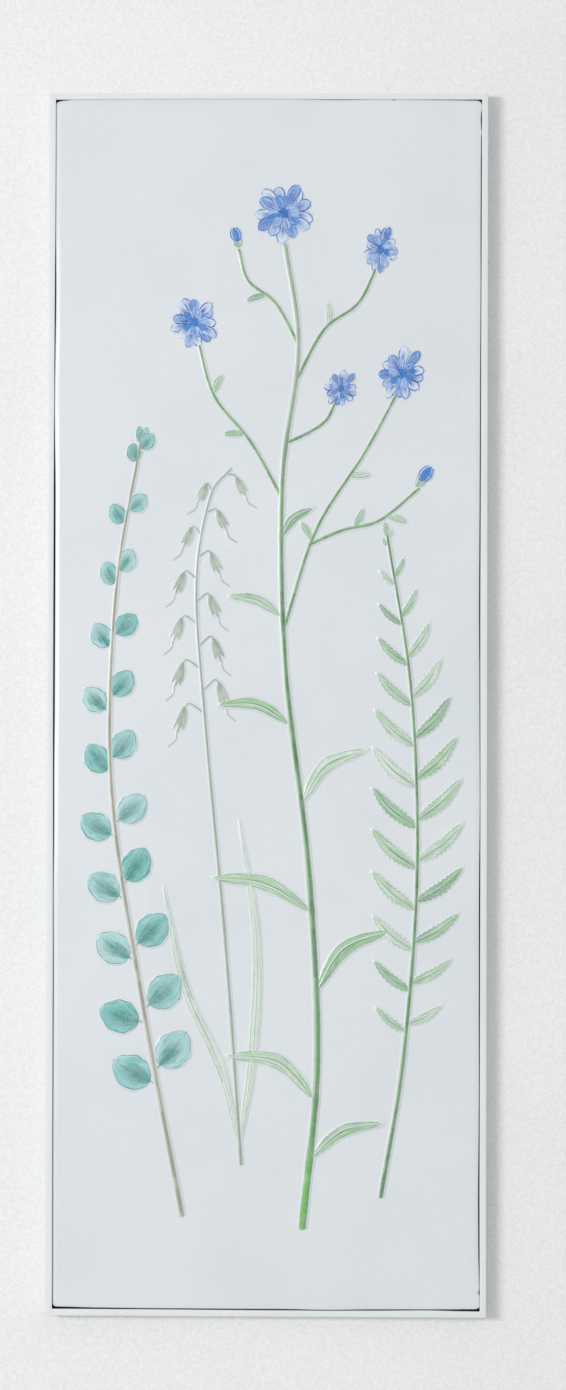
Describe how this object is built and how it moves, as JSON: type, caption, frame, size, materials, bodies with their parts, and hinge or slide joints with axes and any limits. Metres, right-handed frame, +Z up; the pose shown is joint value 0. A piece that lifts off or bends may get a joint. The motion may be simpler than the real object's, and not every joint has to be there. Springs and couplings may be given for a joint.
{
  "type": "framed embossed botanical wall panel",
  "caption": "Tall thin wall panel: a pressed, painted metal sheet with raised plants, in a slim white slat frame, hung flat on a wall.",
  "frame": {"origin": "middle of the backing board's back face, where the panel meets the wall", "axes": "+Z up along the panel's long side, -Y out of its front, +Y into the wall, +X to the right seen from the front"},
  "size_m": [0.36, 0.019, 1],
  "materials": {
    "white_lacquer": "satin white lacquer over a thin wooden slat",
    "pale_enamel": "satin pale blue-grey enamel with translucent painted plants",
    "fibreboard": "bare fibreboard",
    "zinc_plate": "bright zinc plating"
  },
  "bodies": {
    "root": {"frame_rail_top": "white_lacquer", "frame_rail_bottom": "white_lacquer", "frame_rail_left": "white_lacquer", "frame_rail_right": "white_lacquer", "embossed_sheet": "pale_enamel", "backing_board": "fibreboard", "hanger_left": "zinc_plate", "hanger_right": "zinc_plate", "screw_left_a": "zinc_plate", "screw_left_b": "zinc_plate", "screw_right_a": "zinc_plate", "screw_right_b": "zinc_plate"}
  },
  "joints": []
}
